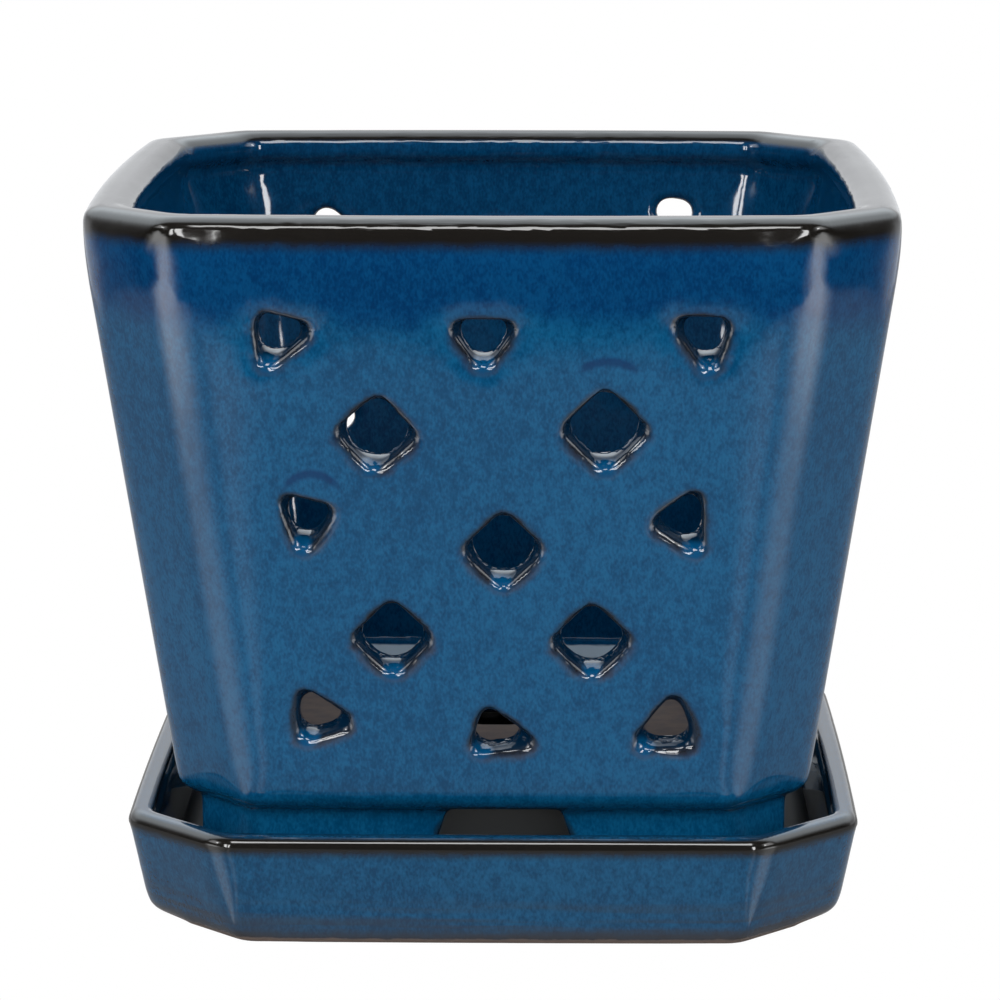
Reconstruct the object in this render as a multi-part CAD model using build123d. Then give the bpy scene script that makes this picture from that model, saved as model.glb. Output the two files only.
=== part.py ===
from build123d import *

import math
import os

# Slotted ceramic orchid pot standing in its saucer.
# Millimetres, +Z up, front wall towards -Y, origin at the centre of the saucer's underside.

os.makedirs("parts", exist_ok=True)

# Pot body
rim_half = 81.9               # half the width across the rim, at the ends of a side
rim_leg = 17.4                # corner chamfer at the rim, measured along each side
back_leg_extra = 2.7          # the two back corners are cut this much further at the rim
rim_bow = 1.8                 # the long sides swell out by this much at the rim
base_half = 65.5              # half the width at the underside, before the edge is rounded
base_leg = 15.5
base_bow = 0.8
body_height = 124.5           # underside to rim
collar_height = 8.8           # upright band below the rim
wall = 8.0
floor_thickness = 7.0
corner_round = 6.5            # rounding of the upright corners
inner_corner_round = 8.0      # inside the pot
mouth_corner_round = 6.0
base_round = 6.0              # rounding of the edge under the wall
rim_round = 3.8
lip_overhang = 2.3            # the rim stands this far in from the wall below it
lip_height = 6.6
lip_round = 2.0               # rounding of the lower edge of the rim, inside
drain_radius = 18.0

# Feet, one under each corner of the pot
foot_height = 18.9
foot_recess = 4.7             # set in from the edge of the underside
foot_width = 11.0
foot_corner_round = 3.5
foot_root = 2.0               # the feet run this far up into the floor
gap_width = 23.0              # gap between two feet, at its top
gap_slope = 18.0              # degrees that the gap's ends lean out
gap_shift = 2.5               # the gaps are off centre by hand

# Saucer, sized to stand clear of the pot's feet
saucer_gap = 6.5              # feet to the saucer's wall, at its floor
saucer_flare = 4.0            # its wall leans out by this much from underside to rim
saucer_leg_growth = 4.0       # corner chamfer at its rim, over that of the pot's underside
saucer_leg_taper = 2.0        # the chamfer is this much longer at the saucer's underside
saucer_bow = 0.5              # the long sides swell out by this much
saucer_height = 23.6
saucer_wall = 6.0
saucer_floor = 7.0
saucer_corner = 7.0           # rounding of the upright corners
saucer_rim_round = 2.4
saucer_base_round = 2.5
saucer_inner_corner = 3.5
saucer_inner_round = 3.0      # between its floor and its wall

# Slots, a lattice of diamonds with halves and corners at its border
lattice_below_rim = 19.9
lattice_above_base = 14.7
lattice_edge_top = 16.8       # border to the edge of the flat wall
lattice_edge_bottom = 12.0
lattice_rows = 5
diamond_half = 8.2            # half a diagonal
half_base = 14.0
half_reach = 10.0
corner_side = 12.5
corner_angle = 72.0
slot_round = 1.4              # corners of a slot, at the outer face of the wall
slot_mouth = 3.0              # depth over which the corners are that sharp
slot_inner_round = 3.0        # corners further in
diamond_inner_round = 4.8
slot_lip = 0.5                # eased edge at the outer face of the wall
slot_margin = 3.0             # the cutters run this far past the wall

# How each hand-cut slot strays from the lattice, by row and column:
# across, up, turn in degrees, scale, and shift of a half slot's point along its base
no_stray = (0, 0, 0, 1, 0)
strays = {
    (0, 0): (0.3, 1.4, -5.0, 1.0, 0),
    (0, 1): (-1.3, -0.1, 0.0, 1.05, 0),
    (0, 2): (1.3, 0.1, -10.0, 1.0, 0),
    (1, 0): (-0.2, -0.8, -4.0, 1.0, 0),
    (1, 1): (0.3, 0.1, 0.0, 1.07, 0),
    (2, 0): (3.0, 2.5, 20.0, 1.0, 0),
    (2, 1): (2.5, -2.5, 0.0, 1.0, 0),
    (2, 2): (-1.0, 3.5, 2.0, 1.06, 0),
    (3, 0): (0.9, 1.2, 1.0, 1.0, 0),
    (3, 1): (-0.5, 0.7, 1.0, 1.0, 0),
    (4, 0): (1.0, 1.0, 10.0, 1.0, 0),
    (4, 1): (2.9, -0.4, 8.0, 1.05, 2.8),
    (4, 2): (1.4, 0.0, 8.0, 1.06, 0),
}
back_strays = {
    (0, 0): (0.5, 3.0, 17.0, 1.0, 0),
    (0, 1): (0.0, -3.0, 0.0, 1.0, 0),
    (0, 2): (-4.0, 3.5, 30.0, 1.0, 0),
    (2, 2): (-1.0, -1.5, 0.0, 1.0, 0),
    (4, 1): (0.0, -1.5, 0.0, 1.0, 0),
}
wall_strays = [strays, strays, back_strays, strays]  # front, right, back, left

# Sizes and heights that follow from those above
foot_half = base_half - foot_recess
saucer_share = saucer_floor / saucer_height
saucer_low_half = foot_half + saucer_gap
saucer_base_half = saucer_low_half + saucer_wall - saucer_share * saucer_flare
saucer_half = saucer_base_half + saucer_flare
saucer_leg = base_leg + saucer_leg_growth
saucer_base_leg = saucer_leg + saucer_leg_taper
foot_z = saucer_floor
under_z = foot_z + foot_height
rim_z = under_z + body_height
collar_z = rim_z - collar_height
pot_floor_z = under_z + floor_thickness
lip_z = rim_z - lip_height


def octagon(half, leg, bow, radius, z, back_leg=None):
    """Chamfered square with swelling sides and rounded corners, as a face at height z."""
    near = half - leg
    far = near if back_leg is None else half - back_leg
    middle = (far - near) / 2
    outline = make_face([
        ThreePointArc((-near, -half), (0, -half - bow), (near, -half)),
        Line((near, -half), (half, -near)),
        ThreePointArc((half, -near), (half + bow, middle), (half, far)),
        Line((half, far), (far, half)),
        ThreePointArc((far, half), (0, half + bow), (-far, half)),
        Line((-far, half), (-half, far)),
        ThreePointArc((-half, far), (-half - bow, middle), (-half, -near)),
        Line((-half, -near), (-near, -half)),
    ])
    return Pos(0, 0, z) * fillet(outline.vertices(), radius)


def inset_leg(leg, distance):
    """Chamfer leg of an octagon after all its sides move in by a distance."""
    return leg - (2 - math.sqrt(2)) * distance


def wall_size(z):
    """Half width, front and back chamfer legs and swell of the pot's outside at a height."""
    share = min(1, (z - under_z) / (collar_z - under_z))
    half = base_half + share * (rim_half - base_half)
    leg = base_leg + share * (rim_leg - base_leg)
    bow = base_bow + share * (rim_bow - base_bow)
    return half, leg, leg + share * back_leg_extra, bow


def section(z, inset, radius):
    """Plan of the pot at a height, moved in from its outside by a distance."""
    half, leg, back_leg, bow = wall_size(z)
    return octagon(half - inset, inset_leg(leg, inset), bow, radius, z, inset_leg(back_leg, inset))


def edges_at(shape, z):
    """Edges that lie flat at a height."""
    return shape.edges().filter_by_position(Axis.Z, z - 0.01, z + 0.01)


def make_saucer():
    """Flared tray with a rounded rim and a flat underside."""
    tray = loft([
        octagon(saucer_base_half, saucer_base_leg, saucer_bow, saucer_corner, 0),
        octagon(saucer_half, saucer_leg, saucer_bow, saucer_corner, saucer_height),
    ], ruled=True)
    tray = fillet(edges_at(tray, 0), saucer_base_round)
    low_leg = inset_leg(saucer_base_leg - saucer_share * saucer_leg_taper, saucer_wall)
    hollow = loft([
        octagon(saucer_low_half, low_leg, saucer_bow, saucer_inner_corner, saucer_floor),
        octagon(saucer_half - saucer_wall, inset_leg(saucer_leg, saucer_wall), saucer_bow,
                saucer_inner_corner, saucer_height),
    ], ruled=True)
    hollow = fillet(edges_at(hollow, saucer_floor), saucer_inner_round)
    tray = tray - hollow
    return fillet(edges_at(tray, saucer_height), saucer_rim_round)


def make_body():
    """Tapered wall, collar, rim and floor, without slots or feet."""
    outside = loft([section(z, 0, corner_round) for z in (under_z, collar_z, rim_z)], ruled=True)
    outside = fillet(edges_at(outside, under_z), base_round)
    cavity = loft([section(z, wall, inner_corner_round) for z in (pot_floor_z, collar_z, lip_z)], ruled=True)
    mouth = extrude(section(lip_z, wall + lip_overhang, mouth_corner_round), amount=lip_height)
    drain = Pos(0, 0, under_z) * Cylinder(drain_radius, 3 * floor_thickness)
    body = outside - cavity - mouth
    ledge = body.faces().filter_by_position(Axis.Z, lip_z - 0.01, lip_z + 0.01)[0]
    body = fillet(ledge.inner_wires()[0].edges(), min(lip_round, 0.9 * lip_overhang))
    return fillet(edges_at(body, rim_z), rim_round) - drain


def make_feet():
    """Ring under the floor, parted into four corner feet by a sloped gap in each side."""
    leg = inset_leg(base_leg, foot_recess)
    inside_leg = inset_leg(leg, foot_width)
    outside = octagon(foot_half, leg, base_bow, foot_corner_round, foot_z)
    inside = octagon(foot_half - foot_width, inside_leg, base_bow, foot_corner_round, foot_z)
    ring = extrude(outside - inside, amount=foot_height + foot_root)
    spread = foot_height * math.tan(math.radians(gap_slope))
    top = gap_width / 2
    outline = make_face(Polyline(
        (gap_shift - top, under_z), (gap_shift + top, under_z),
        (gap_shift + top + spread, foot_z), (gap_shift - top - spread, foot_z), close=True,
    ))
    gap = Pos(0, -foot_half + foot_width / 2, 0) * extrude(Plane.XZ * outline, amount=foot_width, both=True)
    return ring - [Rot(0, 0, 90 * side) * gap for side in range(4)]


def slot_outline(row, column, tip):
    """Corners of one slot about its lattice point, its turn to suit the border and its inner rounding."""
    last = lattice_rows - 1
    if row % 2 or (row not in (0, last) and column == 1):
        points = [(0, diamond_half), (diamond_half, 0), (0, -diamond_half), (-diamond_half, 0)]
        return points, 0, diamond_inner_round
    if column == 1 or row not in (0, last):
        points = [(-half_base / 2, 0), (half_base / 2, 0), (tip, -half_reach)]
        if column == 1:
            return points, 0 if row == 0 else 180, slot_inner_round
        return points, 90 if column == 0 else 270, slot_inner_round
    lean = math.radians((90 - corner_angle) / 2)
    near, far = corner_side * math.sin(lean), corner_side * math.cos(lean)
    turns = {(0, 0): 0, (last, 0): 90, (last, 2): 180, (0, 2): 270}
    return [(0, 0), (far, -near), (near, -far)], turns[row, column], slot_inner_round


def slot_cutters(hand):
    """Cutters for every slot of one wall, placed on the front wall."""
    lean = math.atan2(rim_half - base_half, collar_z - under_z)
    outward = (0, -math.cos(lean), -math.sin(lean))
    face = Plane(origin=(0, -base_half, under_z), x_dir=(1, 0, 0), z_dir=outward)
    top = rim_z - lattice_below_rim
    bottom = under_z + lattice_above_base
    cutters = []
    for row in range(lattice_rows):
        share = row / (lattice_rows - 1)
        z = top + share * (bottom - top)
        half, leg, back_leg, bow = wall_size(z)
        edge = half - leg
        border = edge - lattice_edge_top - share * (lattice_edge_bottom - lattice_edge_top)
        places = [-0.5, 0.5] if row % 2 else [-1, 0, 1]
        for column, place in enumerate(places):
            across, up, turn, size, tip = hand.get((row, column), no_stray)
            points, quarter, inner_round = slot_outline(row, column, tip)
            points = [(size * x, size * y) for x, y in points]
            outline = make_face(FilletPolyline(*points, radius=slot_round, close=True))
            inner = make_face(FilletPolyline(*points, radius=inner_round, close=True))
            across = border * place + across
            up = up + (z - under_z) / math.cos(lean)
            swell = bow * (1 - (across / edge) ** 2)
            at = face * Pos(across, up, swell) * Rot(0, 0, quarter + turn)
            depth = wall + 2 * slot_margin
            cutters.append(at * Pos(0, 0, slot_margin - depth) * extrude(inner, amount=depth))
            cutters.append(at * Pos(0, 0, -slot_mouth) * extrude(outline, amount=slot_mouth + slot_margin))
            cutters.append(at * Pos(0, 0, -slot_lip) * extrude(outline, amount=2 * slot_lip, taper=-45))
    return cutters


def make_pot():
    """Body and feet in one, with slots in all four walls."""
    cutters = []
    for side, hand in enumerate(wall_strays):
        cutters += [Rot(0, 0, 90 * side) * cutter for cutter in slot_cutters(hand)]
    return make_body() + make_feet() - cutters


export_step(make_saucer(), "parts/saucer.step")
export_step(make_pot(), "parts/pot.step")
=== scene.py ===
import math

import bpy
import numpy as np
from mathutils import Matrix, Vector, kdtree


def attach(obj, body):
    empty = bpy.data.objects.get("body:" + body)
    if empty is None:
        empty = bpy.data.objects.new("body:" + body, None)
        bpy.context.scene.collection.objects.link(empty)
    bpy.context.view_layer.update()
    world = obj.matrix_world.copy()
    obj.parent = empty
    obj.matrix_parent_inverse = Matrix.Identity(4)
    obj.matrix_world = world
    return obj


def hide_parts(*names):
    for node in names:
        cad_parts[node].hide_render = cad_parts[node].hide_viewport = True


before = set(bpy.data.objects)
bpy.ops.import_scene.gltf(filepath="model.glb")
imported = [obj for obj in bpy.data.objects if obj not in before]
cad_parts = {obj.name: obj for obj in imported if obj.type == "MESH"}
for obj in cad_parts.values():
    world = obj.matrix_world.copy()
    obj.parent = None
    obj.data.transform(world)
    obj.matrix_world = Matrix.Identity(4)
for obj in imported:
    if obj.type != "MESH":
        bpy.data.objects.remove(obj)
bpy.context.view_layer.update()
scene = bpy.context.scene
print("frame loaded:", sorted(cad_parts))


# small helpers; lengths are in metres unless a comment says millimetres

def deselectAll():
    if bpy.context.object and bpy.context.object.mode != "OBJECT":
        bpy.ops.object.mode_set(mode="OBJECT")
    bpy.ops.object.select_all(action="DESELECT")


def makeActive(piece):
    deselectAll()
    piece.select_set(True)
    bpy.context.view_layer.objects.active = piece


def applyModifier(piece, kind, **settings):
    modifier = piece.modifiers.new(kind.lower(), kind)
    for name, value in settings.items():
        setattr(modifier, name, value)
    makeActive(piece)
    bpy.ops.object.modifier_apply(modifier=modifier.name)


def meshArrays(piece):
    mesh = piece.data
    count = len(mesh.vertices)
    places = np.empty(count * 3)
    mesh.vertices.foreach_get("co", places)
    normals = np.empty(count * 3)
    mesh.vertices.foreach_get("normal", normals)
    pairs = np.empty(len(mesh.edges) * 2, dtype=np.int32)
    mesh.edges.foreach_get("vertices", pairs)
    return places.reshape(-1, 3), normals.reshape(-1, 3), pairs.reshape(-1, 2)


def neighbourMean(values, pairs, rounds, share=1.0):
    # each round moves every value towards the mean of its neighbours
    count = len(values)
    ends = np.concatenate([pairs[:, 0], pairs[:, 1]])
    others = np.concatenate([pairs[:, 1], pairs[:, 0]])
    degree = np.maximum(np.bincount(ends, minlength=count), 1)
    flat = values.reshape(count, -1).astype(float)
    for _ in range(rounds):
        columns = [np.bincount(ends, flat[others, k], count) / degree for k in range(flat.shape[1])]
        flat = flat + share * (np.stack(columns, 1) - flat)
    return flat.reshape(values.shape)


def pointTree(places, chosen):
    # a search tree of the chosen points, under their own numbers
    tree = kdtree.KDTree(len(chosen))
    for index in chosen:
        tree.insert(places[index], int(index))
    tree.balance()
    return tree


def storeAttribute(piece, name, values):
    attribute = piece.data.attributes.new(name, "FLOAT", "POINT")
    attribute.data.foreach_set("value", np.asarray(values, dtype=np.float32))


def smoothStep(low, high, values):
    share = np.clip((values - low) / (high - low), 0, 1)
    return share * share * (3 - 2 * share)


# a fired copy of a CAD node: its edges melt round as glaze leaves them

meltSettings = {
    "weld": 1e-5,
    "factor": 0.5,
    "levels": 10,               # steps of weight in a partial melt
}


def firedCopy(nodeName, pieceName, settings):
    piece = bpy.data.objects.new(pieceName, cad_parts[nodeName].data.copy())
    scene.collection.objects.link(piece)
    piece.data.materials.clear()
    makeActive(piece)
    bpy.ops.object.mode_set(mode="EDIT")
    bpy.ops.mesh.select_all(action="SELECT")
    bpy.ops.mesh.remove_doubles(threshold=meltSettings["weld"])
    bpy.ops.object.mode_set(mode="OBJECT")
    applyModifier(piece, "REMESH", mode="VOXEL", voxel_size=settings["grain"])
    applyModifier(piece, "SMOOTH", factor=meltSettings["factor"], iterations=settings["melt"])
    print(pieceName, "fired,", len(piece.data.polygons), "faces")
    return piece


# smooths only where the weights say
def softenWhere(piece, name, weights, rounds):
    group = piece.vertex_groups.new(name=name)
    levels = meltSettings["levels"]
    for level in range(1, levels + 1):
        chosen = np.flatnonzero(np.round(weights * levels) == level)
        group.add(chosen.tolist(), level / levels, "REPLACE")
    applyModifier(piece, "SMOOTH", factor=meltSettings["factor"], iterations=rounds, vertex_group=name)
    piece.vertex_groups.clear()


# how far each point stands out from its surroundings, in millimetres, kept on the even mesh

edgeSettings = {
    "around": (14, 0.8),        # rounds and share of the mean that a point is measured against
    "calm": (2, 0.7),
    "flat": (0.03, 0.12),       # millimetres; flatter places get even normals
    "even": (10, 0.8),
    "upward": (1, 0.7),
}


def edgeMarks(piece, settings):
    places, normals, pairs = meshArrays(piece)
    around = neighbourMean(places, pairs, *settings["around"])
    proud = np.einsum("ij,ij->i", places - around, normals) * 1000
    proud = neighbourMean(proud, pairs, *settings["calm"])
    flat = 1 - smoothStep(*settings["flat"], np.abs(proud))[:, None]
    normals = flat * neighbourMean(normals, pairs, *settings["even"]) + (1 - flat) * normals
    normals = normals / np.linalg.norm(normals, axis=1)[:, None]
    return proud, normals, pointTree(places, range(len(places)))


def storeEdges(piece, marks, settings):
    proud, normals, tree = marks
    places, _, pairs = meshArrays(piece)
    nearest = [tree.find(point)[1] for point in places]
    storeAttribute(piece, "edge", proud[nearest])
    storeAttribute(piece, "upward", neighbourMean(normals[nearest, 2], pairs, *settings["upward"]))
    piece.data.normals_split_custom_set_from_vertices(normals[nearest])


splitRounds = 4


def splitLongEdges(piece, longest):
    for _ in range(splitRounds):
        places, _, pairs = meshArrays(piece)
        lengths = np.linalg.norm(places[pairs[:, 0]] - places[pairs[:, 1]], axis=1)
        if not (lengths > longest).any():
            break
        makeActive(piece)
        bpy.ops.object.mode_set(mode="EDIT")
        bpy.ops.mesh.select_mode(type="EDGE")
        bpy.ops.mesh.select_all(action="DESELECT")
        bpy.ops.object.mode_set(mode="OBJECT")
        piece.data.edges.foreach_set("select", lengths > longest)
        bpy.ops.object.mode_set(mode="EDIT")
        bpy.ops.mesh.subdivide(number_cuts=1)
        bpy.ops.mesh.select_all(action="SELECT")
        bpy.ops.mesh.quads_convert_to_tris()
        bpy.ops.object.mode_set(mode="OBJECT")
    print(piece.name, "now has", len(piece.data.polygons), "faces")


def thinOut(piece, settings):
    ratio = min(1, settings["triangles"] / (2 * len(piece.data.polygons)))
    if ratio < 1:
        applyModifier(piece, "DECIMATE", ratio=ratio)
    splitLongEdges(piece, settings["longest"])
    makeActive(piece)
    bpy.ops.object.shade_smooth()


# camera, at the photograph's place

cameraSettings = {
    "place": (0.014752, -0.879689, 0.25302),
    "pitch": 0.196,
    "yaw": -0.016,
    "lens": 148.54,
    "sensor": 36,
    "reach": 20,
}


def addCamera(settings):
    bpy.ops.object.camera_add(location=settings["place"])
    camera = bpy.context.object
    camera.name = "camera"
    pitch, yaw = settings["pitch"], settings["yaw"]
    ahead = Vector((math.sin(yaw) * math.cos(pitch), math.cos(yaw) * math.cos(pitch), -math.sin(pitch)))
    camera.rotation_euler = ahead.to_track_quat("-Z", "Y").to_euler()
    camera.data.lens = settings["lens"]
    camera.data.sensor_width = settings["sensor"]
    camera.data.clip_end = settings["reach"]
    scene.camera = camera


deselectAll()
addCamera(cameraSettings)
scene.view_settings.view_transform = "Standard"
print("camera placed")


# shader sums: a Wire is one socket, and each operator on it adds a Math node

class Wire:
    def __init__(self, finish, socket):
        self.finish = finish
        self.socket = socket

    def __add__(self, other):
        return self.finish.maths("ADD", self, other)

    def __radd__(self, other):
        return self.finish.maths("ADD", other, self)

    def __sub__(self, other):
        return self.finish.maths("SUBTRACT", self, other)

    def __rsub__(self, other):
        return self.finish.maths("SUBTRACT", other, self)

    def __mul__(self, other):
        return self.finish.maths("MULTIPLY", self, other)

    def __rmul__(self, other):
        return self.finish.maths("MULTIPLY", other, self)


class Finish:
    def __init__(self, tree):
        self.tree = tree
        self.tree.nodes.clear()

    def node(self, kind, settings=None, inputs=None, output=0):
        made = self.tree.nodes.new(kind)
        for name, value in (settings or {}).items():
            setattr(made, name, value)
        for key, value in (inputs or {}).items():
            if isinstance(value, Wire):
                self.tree.links.new(value.socket, made.inputs[key])
            elif made.inputs[key].type == "RGBA" and len(value) == 3:
                made.inputs[key].default_value = (*value, 1)
            else:
                made.inputs[key].default_value = value
        return Wire(self, made.outputs[output]) if made.outputs else None

    def maths(self, operation, first, second=0.0):
        return self.node("ShaderNodeMath", {"operation": operation}, {0: first, 1: second})

    def coordinates(self, name):
        return self.node("ShaderNodeTexCoord", None, None, name)

    def axis(self, place, name):
        return self.node("ShaderNodeSeparateXYZ", None, {0: place}, name)

    def ray(self, name):
        return self.node("ShaderNodeLightPath", None, None, name)

    def step(self, value, low, high):
        spread = {"Value": value, "From Min": low, "From Max": high}
        return self.node("ShaderNodeMapRange", {"interpolation_type": "SMOOTHSTEP"}, spread)

    def between(self, value, rise, fall):
        return self.step(value, *rise) * (1 - self.step(value, *fall))

    def tint(self, share, under, over):
        return self.node("ShaderNodeMix", {"data_type": "RGBA"}, {0: share, 6: under, 7: over}, 2)

    def attribute(self, name):
        return self.node("ShaderNodeAttribute", {"attribute_name": name}, None, 2)

    def noise(self, place, scale, detail):
        spots = {"Scale": 1, "Detail": detail, "Roughness": 0.5}
        spots["Vector"] = self.node("ShaderNodeMapping", None, {"Vector": place, "Scale": scale})
        return self.node("ShaderNodeTexNoise", None, spots)

    def mixed(self, share, under, over):
        return self.node("ShaderNodeMixShader", None, {0: share, 1: under, 2: over})

    def matte(self, colour):
        return self.node("ShaderNodeBsdfDiffuse", None, {"Color": colour})

    def glow(self, level):
        # a level over 1 doesn't fit in a colour, so a tenth of it goes there
        tenth = level * 0.1
        grey = self.node("ShaderNodeCombineColor", None, {0: tenth, 1: tenth, 2: tenth})
        return self.node("ShaderNodeEmission", None, {"Color": grey, "Strength": 10.0})

    def close(self, surface):
        self.node("ShaderNodeOutputMaterial", None, {"Surface": surface})


def newFinish(name):
    material = bpy.data.materials.new(name)
    material.use_nodes = True
    return material, Finish(material.node_tree)


# the glaze of both pieces; a noise is given as its scale and its detail

glazeSettings = {
    "deep": (0.0, 0.033, 0.089),
    "pale": (0.003, 0.063, 0.146),
    "bandDeep": (0.0, 0.020, 0.072),        # painted shade under the rim, where the glaze mirrors no table; also the colour of thicker runs
    "bandPale": (0.001, 0.038, 0.110),
    # the same glaze, darker inside the hollow as painted shade
    "shadedInsideDeep": (0.0, 0.015, 0.045),
    "shadedInsidePale": (0.001, 0.030, 0.080),
    "thinGlazeAndShade": (0.0065, 0.0058, 0.005),        # breaks dark brown over edges; also painted shade round the slots and within the saucer
    "rust": (0.038, 0.024, 0.018),
    "pool": (0.001, 0.052, 0.135),
    "floor": (0.125, 0.105, 0.096),
    "floorReflection": (0.235, 0.295, 0.350),     # painted reflection on the floor at the foot of the back wall
    "clay": (0.095, 0.066, 0.052),
    # painted shade in the slots' throats
    "throat": (0.0, 0.010, 0.028),
    "saucerDeep": (0.0, 0.028, 0.074),
    "saucerPale": (0.003, 0.054, 0.122),
    "worn": (0.022, 0.021, 0.023),          # low on the saucer's wall
    "fine": ((2000, 2000, 1100), 2),
    "fineShare": 0.46,
    "middle": ((480, 480, 320), 3),
    "middleShare": 0.36,
    "cloud": ((30, 30, 22), 2),
    "cloudShare": 0.18,
    "mottle": (0.36, 0.64),
    "ragged": ((260, 260, 200), 3),
    "wave": ((26, 26, 18), 1),
    "waveHeight": 0.0003,
    "peel": ((520, 520, 420), 1),
    "peelHeight": 0.000008,
    "index": 1.5,
    "roughness": 0.06,
    "raggedRoughness": 0.03,
    "bareRoughness": 0.6,
    "sharp": (0.30, 0.60),                  # millimetres proud
    "sharpRagged": 0.25,
    "sharpShare": 0.75,
}


def glazeMottle(finish, place, settings):
    fine = finish.noise(place, *settings["fine"]) * settings["fineShare"]
    middle = finish.noise(place, *settings["middle"]) * settings["middleShare"]
    cloud = finish.noise(place, *settings["cloud"]) * settings["cloudShare"]
    return finish.step(fine + middle + cloud, *settings["mottle"])


def darkEdges(finish, colour, jitter, settings):
    edge = finish.attribute("edge") + jitter * settings["sharpRagged"]
    sharp = finish.step(edge, *settings["sharp"])
    return finish.tint(sharp * settings["sharpShare"], colour, settings["thinGlazeAndShade"])


def finishGlaze(finish, colour, roughness, place, dull, settings):
    wave = finish.noise(place, *settings["wave"]) * settings["waveHeight"]
    peel = finish.noise(place, *settings["peel"]) * settings["peelHeight"]
    relief = {"Strength": 1.0, "Distance": 1.0, "Height": wave + peel}
    bumped = finish.node("ShaderNodeBump", None, relief)
    parts = {"Base Color": colour, "Roughness": roughness, "IOR": settings["index"], "Normal": bumped}
    glossy = finish.node("ShaderNodeBsdfPrincipled", None, parts)
    finish.close(finish.mixed(dull, glossy, finish.matte(colour)))


# pot

potSettings = {
    "grain": 0.0008,
    "melt": 8,
    "triangles": 125000,
    "longest": 0.0045,          # flat triangles are split until their edges are shorter
    "baseHalf": 0.0655,
    "rimHalf": 0.0819,
    "baseLeg": 0.0155,
    "rimLeg": 0.0174,
    "baseBow": 0.0008,
    "rimBow": 0.0018,
    "backLeg": 0.0027,
    "baseZ": 0.0259,
    "collarZ": 0.1416,
    "floorZ": 0.0329,
    "lipZ": 0.1438,
    "wall": 0.008,
    "cornerMargin": 0.006,      # the slots keep this far from the corners
    "ridgeCore": 0.003,
    "ridgeReach": 0.012,
    "ridgeFrom": 0.0279,
    "sideFrom": 0.0279,
    "ridgeFade": 0.006,
    "ridgeTop": 0.1478,
    "ridgeTopFade": 0.003,
    "ridgeMelt": 280,
    "skin": 0.003,
    "collarCore": 0.002,
    "collarReach": 0.008,
    "collarShare": 0.6,
    "innerCore": 0.003,
    "innerReach": 0.009,
    "innerFrom": (0.085, 0.100),
    "innerSkin": 0.0015,
    "innerLip": (0.008, 0.004),     # below the lip, where the softening ends
    "innerMelt": 120,
    "lipMelt": 4,
    "slotMelt": 10,
}

# where the slots are looked for, as depths from the wall's outer face or from its inner one
slotSettings = {
    "aboveFloor": 0.003,
    "softBelowLip": 0.006,
    "lipDepth": (0.0008, 0.0024),
    "lipAround": (-0.003, 0.004),
    "lipFade": (0.0010, 0.0022),
    "backDepth": (-0.0022, -0.0006),
    "backAround": (-0.0045, 0.001),
    "backFade": (0.0008, 0.0026),
    "markBelowLip": 0.004,
    "throatDepth": 0.0012,
    "mouthDepth": (0.0010, 0.0024),
    "groupReach": 0.003,
    "leftFirst": 0.1,           # the left corner counts as lower where two are level
    "farthest": 20.0,           # millimetres
    "markDepth": 0.011,
    "markAboveBase": 0.004,
    "insideDepth": (-0.0016, -0.0002),
    "insideBelowFloor": 0.001,
    "riseCalm": (2, 1.0),
    "throatCalm": (2, 0.7),
    "insideCalm": (1, 0.7),
}


def shareUp(z, settings):
    return np.clip((z - settings["baseZ"]) / (settings["collarZ"] - settings["baseZ"]), 0, 1)


def wallDepth(places, settings):
    # depth below the flat wall and below the corner chamfer, and whether the point lies off the corners
    x, y, z = np.abs(places[:, 0]), np.abs(places[:, 1]), places[:, 2]
    share = shareUp(z, settings)
    half = settings["baseHalf"] + share * (settings["rimHalf"] - settings["baseHalf"])
    leg = settings["baseLeg"] + share * (settings["rimLeg"] - settings["baseLeg"])
    bow = settings["baseBow"] + share * (settings["rimBow"] - settings["baseBow"])
    along, edge = np.minimum(x, y), half - leg
    side = half + bow * (1 - (along / edge) ** 2) - np.maximum(x, y)
    extra = share * settings["backLeg"] * (places[:, 1] > 0)
    corner = (2 * half - leg - extra - x - y) / math.sqrt(2)
    return side, corner, along < edge - extra - settings["cornerMargin"]


def softenRidges(piece, settings):
    # the upright corners are broad and soft under the glaze, more so low down on the front and back
    places, _, _ = meshArrays(piece)
    side, corner, _ = wallDepth(places, settings)
    z, top = places[:, 2], settings["ridgeTop"]
    facing = np.abs(places[:, 1]) > np.abs(places[:, 0])
    broad = np.where(facing, 1 - shareUp(z, settings), 0)
    bottom = np.where(facing, settings["ridgeFrom"], settings["sideFrom"])
    apart = np.maximum(np.abs(side), np.abs(corner))
    near = 1 - smoothStep(settings["ridgeCore"], settings["ridgeReach"], apart)
    near = near * (0.5 + 0.5 * broad) * smoothStep(0, settings["ridgeFade"], z - bottom)
    near = near * (1 - smoothStep(top - settings["ridgeTopFade"], top, z))
    softenWhere(piece, "ridge", near, settings["ridgeMelt"])


def softenInside(piece, settings):
    # the collar runs softly into the wall, and the hollow's upright corners are broad
    places, _, _ = meshArrays(piece)
    side, corner, _ = wallDepth(places, settings)
    z, wall, depth = places[:, 2], settings["wall"], np.minimum(side, corner)
    outer = np.abs(depth) < settings["skin"]
    collar = np.abs(z - settings["collarZ"])
    collar = 1 - smoothStep(settings["collarCore"], settings["collarReach"], collar)
    inner = np.maximum(np.abs(side - wall), np.abs(corner - wall))
    inner = 1 - smoothStep(settings["innerCore"], settings["innerReach"], inner)
    inner = inner * smoothStep(*settings["innerFrom"], z)
    inner = inner * (depth > wall - settings["innerSkin"])
    lipFrom, lipTo = settings["innerLip"]
    inner = inner * (1 - smoothStep(settings["lipZ"] - lipFrom, settings["lipZ"] - lipTo, z))
    weights = np.maximum(collar * outer * settings["collarShare"], inner)
    softenWhere(piece, "inside", weights, settings["innerMelt"])


def inRange(values, limits, start=0.0):
    return (values > start + limits[0]) & (values < start + limits[1])


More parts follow.
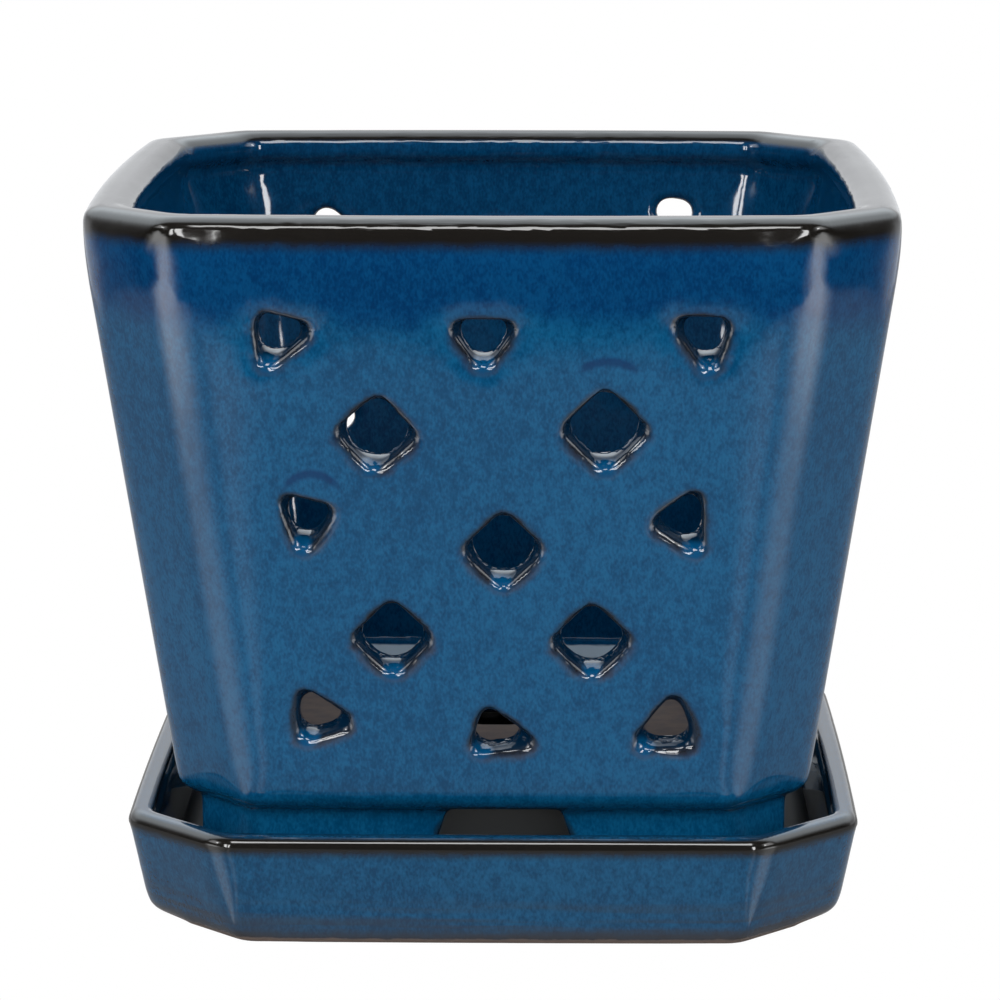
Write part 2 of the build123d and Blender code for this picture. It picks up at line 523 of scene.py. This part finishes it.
def nearTo(places, chosen, candidates):
    # distance from each candidate to the nearest chosen point
    tree = pointTree(places, np.flatnonzero(chosen))
    apart = np.full(len(places), 1.0)
    for index in np.flatnonzero(candidates):
        apart[index] = tree.find(places[index])[2]
    return apart


def softenSlots(piece, settings, slots):
    # the slots' lips are smooth, and inside the pot their edges are worn round
    places, _, _ = meshArrays(piece)
    side, corner, flat = wallDepth(places, settings)
    depth, z, wall = np.minimum(side, corner), places[:, 2], settings["wall"]
    within = (z > settings["floorZ"] + slots["aboveFloor"]) & flat
    within = within & (z < settings["lipZ"] - slots["softBelowLip"])
    lip = within & inRange(depth, slots["lipDepth"])
    lip = nearTo(places, lip, inRange(depth, slots["lipAround"]))
    back = within & inRange(depth, slots["backDepth"], wall)
    back = nearTo(places, back, inRange(depth, slots["backAround"], wall))
    softenWhere(piece, "slotLip", 1 - smoothStep(*slots["lipFade"], lip), settings["lipMelt"])
    softenWhere(piece, "slotBack", 1 - smoothStep(*slots["backFade"], back), settings["slotMelt"])


def lowCorners(points, slots):
    # the lowest point of each slot, or the left one where two are level
    tree = pointTree(points, range(len(points)))
    left = set(range(len(points)))
    corners = []
    while left:
        group, fresh = [], [left.pop()]
        while fresh:
            index = fresh.pop()
            group.append(index)
            around = tree.find_range(points[index], slots["groupReach"])
            close = [found for _, found, _ in around if found in left]
            left.difference_update(close)
            fresh.extend(close)
        corners.append(min(group, key=lambda index: points[index][2] + slots["leftFirst"] * points[index][0]))
    return pointTree(points, corners)


def markPot(piece, settings, slots):
    places, _, pairs = meshArrays(piece)
    side, corner, flat = wallDepth(places, settings)
    depth, z, wall = np.minimum(side, corner), places[:, 2], settings["wall"]
    within = (z > settings["floorZ"] + slots["aboveFloor"]) & flat
    within = within & (z < settings["lipZ"] - slots["markBelowLip"])
    throat = within & (depth > slots["throatDepth"]) & (depth < wall - slots["throatDepth"])
    mouth = np.flatnonzero(within & inRange(depth, slots["mouthDepth"]))
    tree = pointTree(places, mouth)
    corners = lowCorners(places[mouth], slots)
    farthest = slots["farthest"]
    gap = np.full(len(places), farthest)
    low = np.full(len(places), farthest)
    rise = np.zeros(len(places))
    near = (depth < slots["markDepth"]) & (z > settings["baseZ"] + slots["markAboveBase"])
    for index in np.flatnonzero(near):
        found, _, distance = tree.find(places[index])
        gap[index] = min(farthest, distance * 1000)
        low[index] = min(farthest, corners.find(places[index])[2] * 1000)
        rise[index] = (places[index][2] - found[2]) / max(distance, 1e-4)
    insideFrom, insideTo = slots["insideDepth"]
    inside = smoothStep(wall + insideFrom, wall + insideTo, depth)
    inside = inside * (z > settings["floorZ"] - slots["insideBelowFloor"])
    storeAttribute(piece, "depth", np.clip(depth * 1000, 0, farthest))
    storeAttribute(piece, "slotGap", gap)
    storeAttribute(piece, "slotLow", low)
    storeAttribute(piece, "slotRise", neighbourMean(rise, pairs, *slots["riseCalm"]))
    storeAttribute(piece, "throat", neighbourMean(throat.astype(float), pairs, *slots["throatCalm"]))
    storeAttribute(piece, "inside", neighbourMean(inside, pairs, *slots["insideCalm"]))
    print("slot mouths marked:", len(mouth))


# a pair of numbers is where a mark starts and where it is full
potGlazeSettings = {
    "wander": ((45, 45, 45), 2),
    "bandLine": (0.1255, 0.1325),   # heights
    "bandWander": 0.008,
    "bandLift": 0.004,
    "bandLiftGap": (2, 9),          # millimetres from a slot
    "floorUpward": (0.6, 0.9),
    "floorTop": (0.036, 0.040),
    "floorShade": (0.020, 0.042),   # painted shade, darker towards the back
    "floorShare": 0.55,
    "floorRagged": 0.7,
    # where the painted reflection lies on the floor
    "farFrom": (0.036, 0.046),
    "farTo": (0.0545, 0.0570),
    "farRagged": 0.003,
    "farShare": 0.9,
    "below": (0.10, -0.70),         # from level with the slot to under it
    "halo": (1.4, 3.4),             # millimetres from a slot
    "haloRagged": 1.8,
    "haloShare": 0.15,
    "haloBelow": 0.40,
    # dark line round each slot: thin glaze, with painted shade widening it below
    "contour": (0.9, 2.0),
    "contourRagged": 0.5,
    "contourBelow": 0.5,
    "contourShare": 0.80,
    "throatShadeShare": 0.9,
    "pool": (1.4, 3.0),             # millimetres from a slot's low corner
    "poolRagged": 1.6,
    "poolShare": 0.75,
    "ledge": (2.8, 4.2),            # millimetres deep
    "arcs": ((-0.0356, 0.0987, 85), (0.0233, 0.1220, 55)),     # middle x, top z and bend of each
    "arcThick": (0.0003, 0.0015),
    "arcWide": (0.0040, 0.0066),
    "arcFront": (-0.070, -0.060),
    "arcShare": 0.85,
    "rimBand": (0.1430, 0.1464),
    "rimRagged": 0.0012,
    "rimTop": (0.1480, 0.1490),
    "bare": (0.0072, 0.0080),
    "bareRagged": 0.0006,
    "hollow": (0.038, 0.046),
    "backRimY": (0.068, 0.076),
    "backRimZ": (0.1470, 0.1490),
    "ledgeDull": 0.75,
    "hollowDull": 0.9,
    "backRimDull": 0.35,
}


def potGlaze(settings, spots):
    material, finish = newFinish("pot glaze")
    place = finish.coordinates("Object")
    x, y, z = (finish.axis(place, name) for name in "XYZ")
    mottle = glazeMottle(finish, place, settings)
    ragged = finish.noise(place, *settings["ragged"])
    jitter = ragged - 0.5
    gap = finish.attribute("slotGap")
    throat = finish.attribute("throat")
    inside = finish.attribute("inside")
    outside = 1 - inside

    # painted shade under the rim, where the glaze mirrors no table, ends in a wavering line, higher over the
    # slots
    colour = finish.tint(mottle, settings["deep"], settings["pale"])
    shadedBand = finish.tint(mottle, settings["bandDeep"], settings["bandPale"])
    lift = (1 - finish.step(gap, *spots["bandLiftGap"])) * spots["bandLift"]
    wander = (finish.noise(place, *spots["wander"]) - 0.5) * spots["bandWander"]
    colour = finish.tint(finish.step(z - lift + wander, *spots["bandLine"]), colour, shadedBand)
    # painted shade: the inside of the hollow takes a darker copy of the glaze
    inner = finish.tint(mottle, settings["shadedInsideDeep"], settings["shadedInsidePale"])
    colour = finish.tint(inside, colour, inner)

    # bare-looking floor, with painted shade towards the back and a painted reflection, a pale strip, at the
    # foot of the back wall
    floor = inside * finish.step(finish.attribute("upward"), *spots["floorUpward"])
    floor = floor * (1 - finish.step(z, *spots["floorTop"]))
    shade = 1 - finish.step(y, *spots["floorShade"])
    patchy = spots["floorShare"] + ragged * spots["floorRagged"]
    colour = finish.tint(floor * patchy * shade, colour, settings["floor"])
    far = finish.between(y + jitter * spots["farRagged"], spots["farFrom"], spots["farTo"])
    colour = finish.tint(floor * far * spots["farShare"], colour, settings["floorReflection"])

    # dark lines round the slots, thin glaze widened by painted shade below them, rust below them, painted
    # shade in the throats, and bright glaze pooled in each low corner
    below = finish.step(finish.attribute("slotRise"), *spots["below"])
    halo = (1 - finish.step(gap + jitter * spots["haloRagged"], *spots["halo"])) * outside
    stain = finish.tint(below, settings["bandDeep"], settings["rust"])
    colour = finish.tint(halo * (spots["haloShare"] + below * spots["haloBelow"]), colour, stain)
    near, wide = spots["contour"]
    contour = finish.step(gap + jitter * spots["contourRagged"], near, wide + below * spots["contourBelow"])
    colour = finish.tint((1 - contour) * outside * spots["contourShare"], colour, settings["thinGlazeAndShade"])
    colour = finish.tint(throat * spots["throatShadeShare"], colour, settings["throat"])
    pool = finish.attribute("slotLow") + jitter * spots["poolRagged"]
    pool = (1 - finish.step(pool, *spots["pool"])) * outside
    colour = finish.tint(pool * spots["poolShare"], colour, settings["pool"])
    ledge = throat * (1 - finish.step(finish.attribute("depth"), *spots["ledge"])) * (1 - pool)

    # two arcs where the glaze ran thicker
    front = 1 - finish.step(y, *spots["arcFront"])
    for middleX, topZ, bend in spots["arcs"]:
        across = x - middleX
        off = finish.maths("ABSOLUTE", z - topZ + across * across * bend)
        arc = 1 - finish.step(off, *spots["arcThick"])
        arc = arc * (1 - finish.step(finish.maths("ABSOLUTE", across), *spots["arcWide"])) * front
        colour = finish.tint(arc * spots["arcShare"], colour, settings["bandDeep"])

    # thin dark glaze over the rim and along every sharp edge
    band = finish.step(z + jitter * spots["rimRagged"], *spots["rimBand"]) * outside
    rim = finish.maths("MAXIMUM", band, finish.step(z, *spots["rimTop"]))
    colour = finish.tint(rim, colour, settings["thinGlazeAndShade"])
    colour = darkEdges(finish, colour, jitter, settings)

    # bare clay under the feet
    bare = 1 - finish.step(z + jitter * spots["bareRagged"], *spots["bare"])
    colour = finish.tint(bare, colour, settings["clay"])
    roughness = settings["roughness"] + ragged * settings["raggedRoughness"]
    roughness = roughness + bare * settings["bareRoughness"]

    # dull on the slots' ledges, low in the hollow and a little on the back rim
    hollow = inside * (1 - finish.step(z, *spots["hollow"]))
    backRim = finish.step(y, *spots["backRimY"]) * finish.step(z, *spots["backRimZ"])
    dull = ledge * spots["ledgeDull"] + hollow * spots["hollowDull"] + backRim * spots["backRimDull"]
    finishGlaze(finish, colour, roughness, place, dull, settings)
    return material


pot = firedCopy("pot", "glazedPot", potSettings)
softenRidges(pot, potSettings)
softenInside(pot, potSettings)
softenSlots(pot, potSettings, slotSettings)
potEdges = edgeMarks(pot, edgeSettings)
thinOut(pot, potSettings)
storeEdges(pot, potEdges, edgeSettings)
markPot(pot, potSettings, slotSettings)
pot.data.materials.append(potGlaze(glazeSettings, potGlazeSettings))
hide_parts("pot")
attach(pot, "pot")
print("pot glazed")


# saucer

saucerSettings = {
    "grain": 0.0009,
    "melt": 6,
    "triangles": 120000,
    "longest": 0.005,
    "baseHalf": 0.0721,
    "rimHalf": 0.0761,
    "baseLeg": 0.0215,
    "rimLeg": 0.0195,
    "baseBow": 0.0005,
    "rimBow": 0.0005,
    "backLeg": 0.0,
    "baseZ": 0.0,
    "collarZ": 0.0236,
    "cornerMargin": 0.006,
    "ridgeCore": 0.003,
    "ridgeReach": 0.011,
    "ridgeFrom": 0.002,
    "sideFrom": -0.010,         # down to the table at the sides
    "ridgeFade": 0.006,
    "ridgeTop": 0.0212,
    "ridgeTopFade": 0.003,
    "ridgeMelt": 140,
}

saucerGlazeSettings = {
    "streakNoise": ((14, 14, 380), 3),
    "streak": (0.42, 0.64),
    "streakTop": (0.004, 0.013),
    "streakShare": 0.55,
    "rimBand": (0.0186, 0.0212),
    "rimRagged": 0.0010,
    "rimUpward": (0.70, 0.92),
    "rimPaler": 0.75,           # the rim's top is this much less dark
    # inside the saucer, darkened as thin glaze and painted shade
    "within": (0.0706, 0.0716),
    "withinZ": (0.0060, 0.0066),
    "diagonal": 0.7071,
    "cornerShift": 0.0055,
    "bare": (0.0010, 0.0018),
    "bareRagged": 0.0010,
    "worn": (0.0016, 0.0054),
    "wornRagged": 0.0016,
    "wornShare": 0.8,
    "floorTop": (0.0085, 0.0105),
    "floorRoughness": 0.6,
}


def saucerGlaze(settings, spots):
    material, finish = newFinish("saucer glaze")
    place = finish.coordinates("Object")
    x, y, z = (finish.axis(place, name) for name in "XYZ")
    mottle = glazeMottle(finish, place, settings)
    ragged = finish.noise(place, *settings["ragged"])
    jitter = ragged - 0.5

    # blue wall, streaked low down, and thin dark glaze over the rim and the edges
    colour = finish.tint(mottle, settings["saucerDeep"], settings["saucerPale"])
    streak = finish.step(finish.noise(place, *spots["streakNoise"]), *spots["streak"])
    streak = streak * (1 - finish.step(z, *spots["streakTop"]))
    colour = finish.tint(streak * spots["streakShare"], colour, settings["worn"])
    band = finish.step(z + jitter * spots["rimRagged"], *spots["rimBand"])
    over = finish.step(finish.attribute("upward"), *spots["rimUpward"])
    colour = finish.tint(band * (1 - over * spots["rimPaler"]), colour, settings["thinGlazeAndShade"])
    colour = darkEdges(finish, colour, jitter, settings)

    # dark within, partly thin glaze and partly painted shade under the pot, and bare where it stood in the
    # kiln
    wide = finish.maths("ABSOLUTE", x)
    deep = finish.maths("ABSOLUTE", y)
    slant = (wide + deep) * spots["diagonal"] + spots["cornerShift"]
    reach = finish.maths("MAXIMUM", finish.maths("MAXIMUM", wide, deep), slant)
    within = (1 - finish.step(reach, *spots["within"])) * finish.step(z, *spots["withinZ"])
    colour = finish.tint(within, colour, settings["thinGlazeAndShade"])
    bare = 1 - finish.step(z + jitter * spots["bareRagged"], *spots["bare"])
    worn = 1 - finish.step(z + jitter * spots["wornRagged"], *spots["worn"])
    colour = finish.tint(worn * spots["wornShare"], colour, settings["worn"])
    colour = finish.tint(bare, colour, settings["clay"])
    floor = within * (1 - finish.step(z, *spots["floorTop"]))
    roughness = settings["roughness"] + ragged * settings["raggedRoughness"]
    roughness = roughness + bare * settings["bareRoughness"]
    roughness = roughness + floor * spots["floorRoughness"]
    finishGlaze(finish, colour, roughness, place, 0.0, settings)
    return material


saucer = firedCopy("saucer", "glazedSaucer", saucerSettings)
softenRidges(saucer, saucerSettings)
saucerEdges = edgeMarks(saucer, edgeSettings)
thinOut(saucer, saucerSettings)
storeEdges(saucer, saucerEdges, edgeSettings)
saucer.data.materials.append(saucerGlaze(glazeSettings, saucerGlazeSettings))
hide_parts("saucer")
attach(saucer, "saucer")
print("saucer glazed")


# table, room and lamps; angles are in radians, out from straight ahead of a front corner

tableSettings = {
    "size": 6.0,
    "front": (-0.347, -0.323),      # the pale table starts here
    "back": (1.2, 1.3),
    "sides": (0.405, 0.435),
    "sheen": 0.40,                  # its brightness as the glaze mirrors it
    "corner": (0.058, -0.073),      # under the pot's front corners
    "glow": 1.0,                    # light spilling out from there to each side
    "farGlow": 2.6,                 # and further out
    "asideFrom": (0.30, 0.85),
    "asideTo": (1.15, 1.66),
    "farFrom": (0.17, 0.31),
    "spill": 0.45,                  # narrow spill to the front
    "spillFrom": (0.06, 0.18),
    "spillTo": (0.20, 0.36),
    "beyondFrom": (0.40, 0.80),     # a patch past the table's edge
    "beyondTo": (0.95, 1.35),
    "beyondStart": (0.25, 0.45),
    "beyondEnd": (1.2, 1.4),
    "bounce": 0.55,
}


def addTable(settings):
    bpy.ops.mesh.primitive_plane_add(size=settings["size"], location=(0, 0, 0))
    table = bpy.context.object
    table.name = "table"
    material, finish = newFinish("pale table")
    place = finish.coordinates("Object")
    wide = finish.maths("ABSOLUTE", finish.axis(place, "X"))
    y = finish.axis(place, "Y")
    there = finish.between(y, settings["front"], settings["back"])
    there = there * (1 - finish.step(wide, *settings["sides"]))
    cornerX, cornerY = settings["corner"]
    fromX, fromY = wide - cornerX, cornerY - y
    angle = finish.maths("ARCTAN2", fromX, fromY)
    apart = finish.maths("SQRT", fromX * fromX + fromY * fromY)
    aside = finish.between(angle, settings["asideFrom"], settings["asideTo"])
    ahead = finish.between(angle, settings["spillFrom"], settings["spillTo"])
    far = settings["farGlow"] * finish.step(apart, *settings["farFrom"])
    glow = settings["sheen"] + aside * (settings["glow"] + far) + ahead * settings["spill"]
    beyond = finish.between(angle, settings["beyondFrom"], settings["beyondTo"])
    beyond = beyond * finish.between(apart, settings["beyondStart"], settings["beyondEnd"])
    there = finish.maths("MAXIMUM", there, beyond)
    # white to the camera, a sheen to the glaze, and a plain pale table to other light
    white = finish.node("ShaderNodeEmission", None, {"Color": (1, 1, 1), "Strength": 1.0})
    clear = finish.node("ShaderNodeBsdfTransparent", None, {"Color": (1, 1, 1)})
    matte = finish.matte((settings["bounce"],) * 3)
    surface = finish.mixed(finish.ray("Is Glossy Ray"), matte, finish.glow(glow))
    surface = finish.mixed(there, clear, surface)
    finish.close(finish.mixed(finish.ray("Is Camera Ray"), surface, white))
    table.data.materials.append(material)


roomSettings = {
    "behind": (0.93, 0.95, 0.98),   # white wall behind the pot, as the glaze mirrors it
    "above": (2.4, 2.6, 2.75),      # and over it
    "aboveFrom": (0.18, 0.60),
    "behindFrom": (0.02, 0.42),
    "lean": 0.22,
    "around": 0.03,
    "fill": 0.30,                   # even light from everywhere
}


def addRoom(settings):
    world = bpy.data.worlds.new("room")
    scene.world = world
    world.use_nodes = True
    finish = Finish(world.node_tree)
    place = finish.coordinates("Generated")
    y, z = finish.axis(place, "Y"), finish.axis(place, "Z")
    wall = finish.tint(finish.step(z, *settings["aboveFrom"]), settings["behind"], settings["above"])
    behind = finish.step(y + z * settings["lean"], *settings["behindFrom"])
    mirror = finish.tint(behind, (settings["around"],) * 3, wall)
    colour = finish.tint(finish.ray("Is Glossy Ray"), (settings["fill"],) * 3, mirror)
    colour = finish.tint(finish.ray("Is Camera Ray"), colour, (1, 1, 1))
    light = finish.node("ShaderNodeBackground", None, {"Color": colour, "Strength": 1.0})
    finish.node("ShaderNodeOutputWorld", None, {"Surface": light})


# key lamps light the glaze, and the other lamps are what it mirrors
lampTarget = (0, 0, 0.12)
lampSettings = {
    "keyLeft": {"place": (-0.95, -1.05, 0.75), "size": (0.9, 1.1), "power": 22, "mirror": False},
    "keyRight": {"place": (0.95, -1.05, 0.75), "size": (0.9, 1.1), "power": 20, "mirror": False},
    "keyTop": {"place": (0.0, -0.35, 1.35), "size": (1.2, 0.6), "power": 10, "mirror": False},
    "panelTop": {"place": (0.0, -0.92, 1.27), "size": (0.62, 0.36), "power": 8, "mirror": True},
    "stripLeft": {"place": (-0.40, -1.24, 0.42), "size": (0.11, 0.66), "power": 3.6, "mirror": True},
    "stripNear": {"place": (-0.57, -1.17, 0.42), "size": (0.11, 0.66), "power": 3.6, "mirror": True},
    "stripRight": {"place": (0.41, -1.23, 0.42), "size": (0.16, 0.66), "power": 5.2, "mirror": True},
    "sparkLeft": {"place": (-1.00, -0.78, 0.73), "size": (0.26, 0.26), "power": 4.0, "mirror": True},
    "sparkRight": {"place": (1.00, -0.78, 0.73), "size": (0.26, 0.26), "power": 4.0, "mirror": True},
}


def addLamp(name, settings):
    bpy.ops.object.light_add(type="AREA", location=settings["place"])
    lamp = bpy.context.object
    lamp.name = name
    lamp.data.shape = "RECTANGLE"
    lamp.data.size, lamp.data.size_y = settings["size"]
    lamp.data.energy = settings["power"]
    lamp.visible_camera = False
    lamp.visible_glossy = settings["mirror"]
    lamp.visible_diffuse = not settings["mirror"]
    ahead = Vector(lampTarget) - Vector(settings["place"])
    lamp.rotation_euler = ahead.to_track_quat("-Z", "Y").to_euler()


# big soft panels to each side, seen only as the glaze mirrors them
panelSettings = {
    "panelLeft": {"place": (-1.10, -0.587, 0.58), "size": (1.33, 1.55), "glow": 3.8},
    "panelRight": {"place": (1.10, -0.587, 0.58), "size": (1.33, 1.55), "glow": 3.8},
}

# how a panel's glow rises and falls across it, and in a low and a high part of it
panelGlow = {
    "across": ((0.0, 0.42), (0.58, 1.0)),
    "low": ((0.0, 0.10), (0.17, 0.28)),
    "high": ((0.42, 0.55), (0.85, 1.0)),
}


def addPanel(name, settings):
    x, y, z = settings["place"]
    bpy.ops.mesh.primitive_plane_add(size=1, location=settings["place"])
    panel = bpy.context.object
    panel.name = name
    panel.scale = (*settings["size"], 1)
    panel.rotation_euler = Vector((-x, -y, 0)).to_track_quat("Z", "Y").to_euler()
    bpy.ops.object.transform_apply(location=True, rotation=True, scale=True)
    material, finish = newFinish(name + " cloth")
    place = finish.coordinates("UV")
    up = finish.axis(place, "Y")
    across = finish.between(finish.axis(place, "X"), *panelGlow["across"])
    upward = finish.between(up, *panelGlow["low"]) + finish.between(up, *panelGlow["high"])
    finish.close(finish.glow(across * upward * settings["glow"]))
    panel.data.materials.append(material)
    panel.visible_camera = False
    panel.visible_diffuse = False
    panel.visible_shadow = False


deselectAll()
addTable(tableSettings)
addRoom(roomSettings)
for lampName, lamp in lampSettings.items():
    addLamp(lampName, lamp)
for panelName, panel in panelSettings.items():
    addPanel(panelName, panel)
print("table and lamps set")
